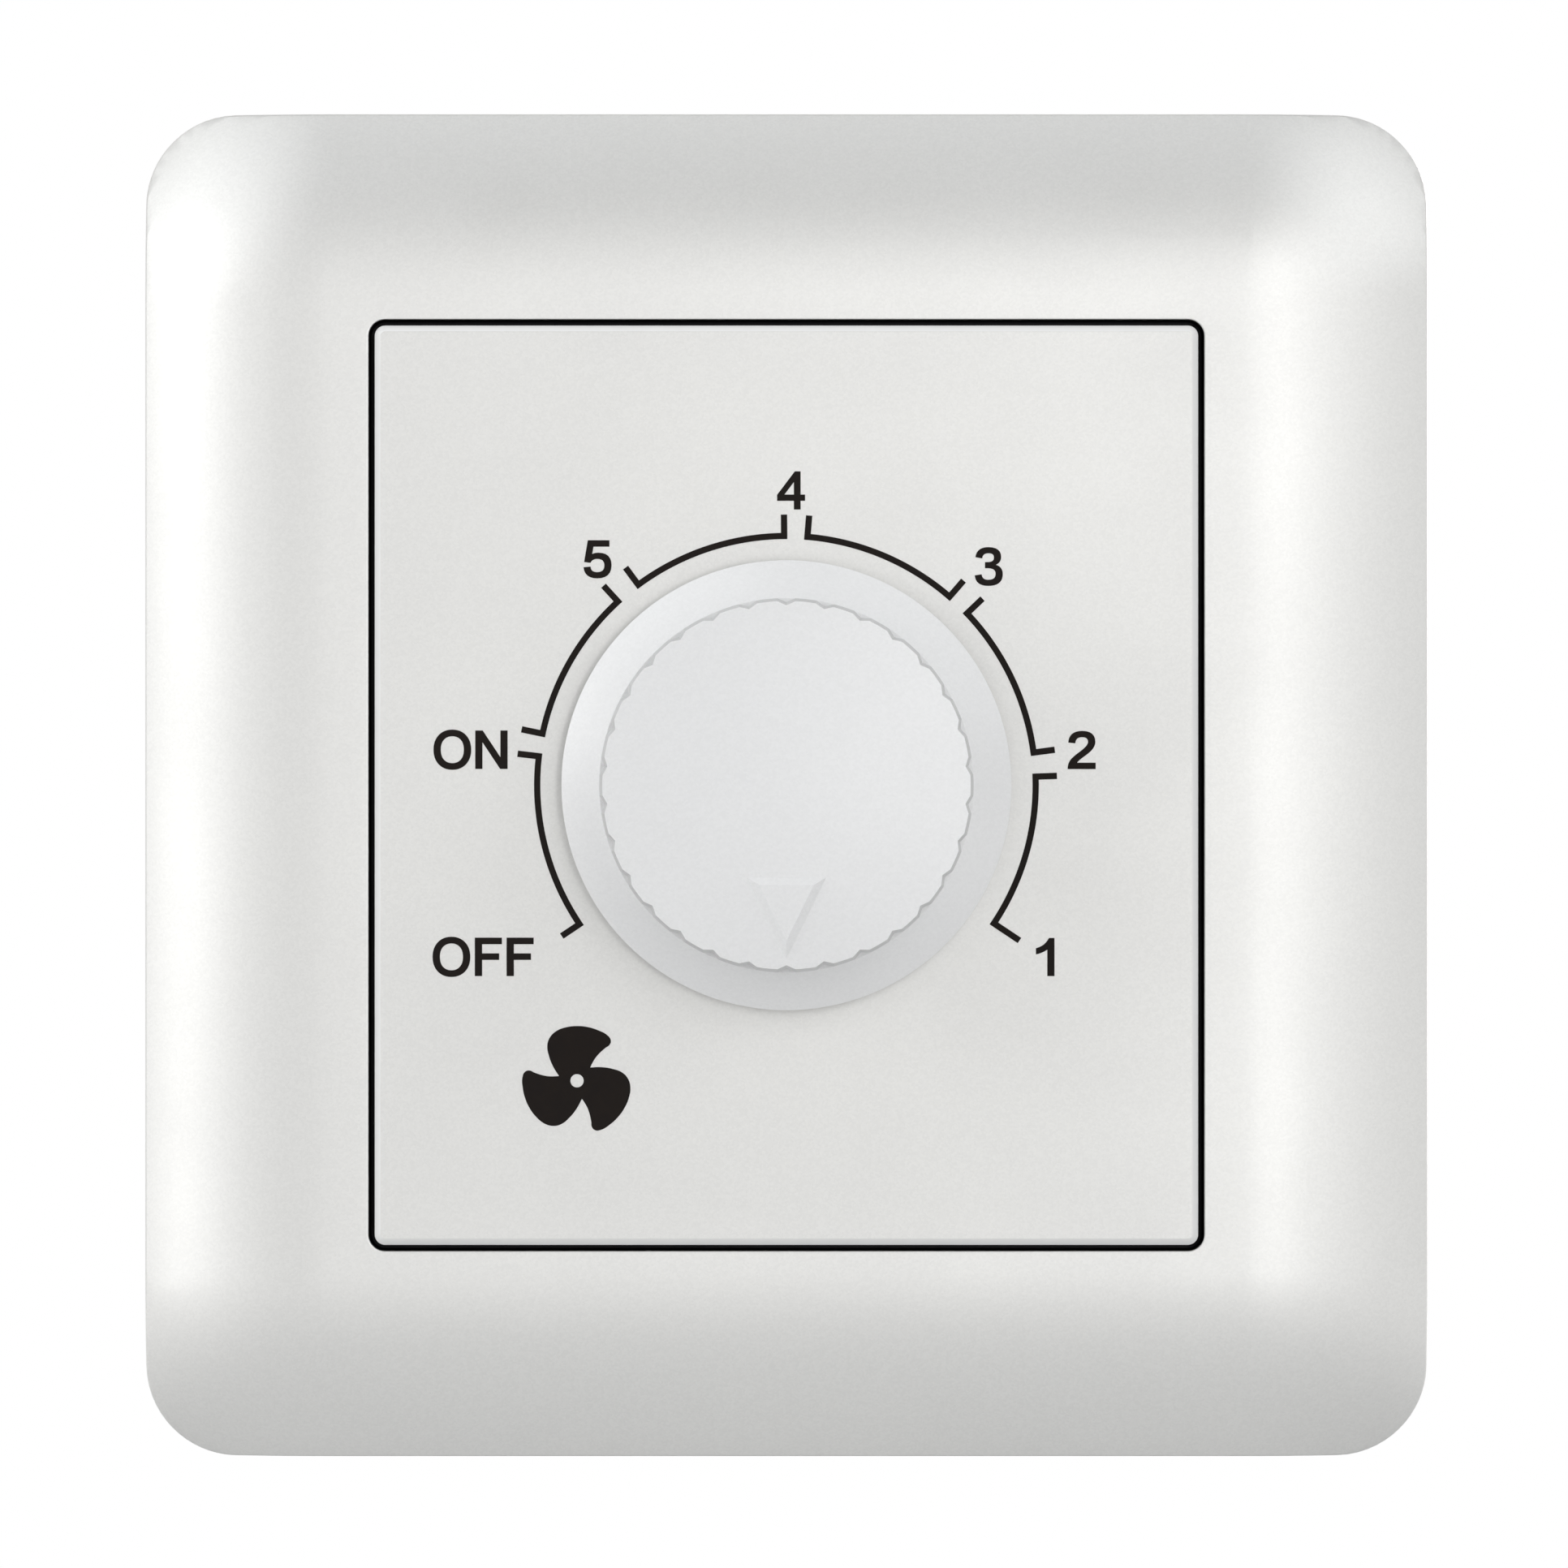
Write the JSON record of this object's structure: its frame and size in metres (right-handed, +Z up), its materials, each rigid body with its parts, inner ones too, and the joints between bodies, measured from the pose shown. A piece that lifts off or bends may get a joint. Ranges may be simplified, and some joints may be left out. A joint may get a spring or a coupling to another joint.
{
  "type": "fan speed control switch",
  "caption": "Wall-box fan speed control: rounded satin silver frame, flat dial panel and a fluted skirted knob on a rotary control module with screw terminals.",
  "frame": {"origin": "on the wall plane, at the middle of the two fixing slots and on the knob's axis", "axes": "+Z up, +X to the right as seen from the front, +Y into the wall; the switch faces -Y"},
  "size_m": [0.086, 0.0477, 0.09],
  "materials": {
    "silver_frame": "satin pearl silver paint on plastic",
    "silver_panel": "satin pearl silver paint on plastic",
    "silver_knob": "satin pearl silver paint on plastic",
    "white_plastic": "moulded, fine matt",
    "grey_plastic": "moulded, fine matt",
    "dark_plastic": "moulded, matt",
    "zinc": "die cast",
    "steel": "plated",
    "aluminium": "plain sheet",
    "board": "solder mask",
    "ferrite": "matt sintered",
    "copper": "enamelled wire",
    "capacitor_film": "moulded, gloss",
    "capacitor_small": "dipped, gloss",
    "fuse_body": "moulded, gloss",
    "brass": "machined"
  },
  "bodies": {
    "switch_body": {"outer_frame": "silver_frame", "front_panel": "silver_panel", "base_chassis": "white_plastic", "rear_housing": "grey_plastic", "pot_bushing": "zinc", "pot_case": "dark_plastic", "pot_nut": "steel", "pot_washer": "steel", "pot_pins": "steel", "circuit_board": "board", "heat_sink": "aluminium", "triac": "dark_plastic", "triac_clip": "steel", "choke_core": "ferrite", "choke_winding": "copper", "suppression_capacitor": "capacitor_film", "timing_capacitor": "capacitor_small", "resistors": "dark_plastic", "diac": "dark_plastic", "fuse": "fuse_body", "terminal_block": "white_plastic", "line_terminal": "brass", "load_terminal": "brass", "terminal_screws": "steel"},
    "knob_set": {"knob": "silver_knob", "knob_spring": "steel", "pot_shaft": "aluminium", "pot_rotor": "white_plastic"}
  },
  "joints": [
    {"name": "knob_turn", "type": "hinge", "parent": "switch_body", "child": "knob_set", "pos_m": [0, -0.0094, 0], "axis": [0, 1, 0], "range_deg": [0, 304]}
  ]
}
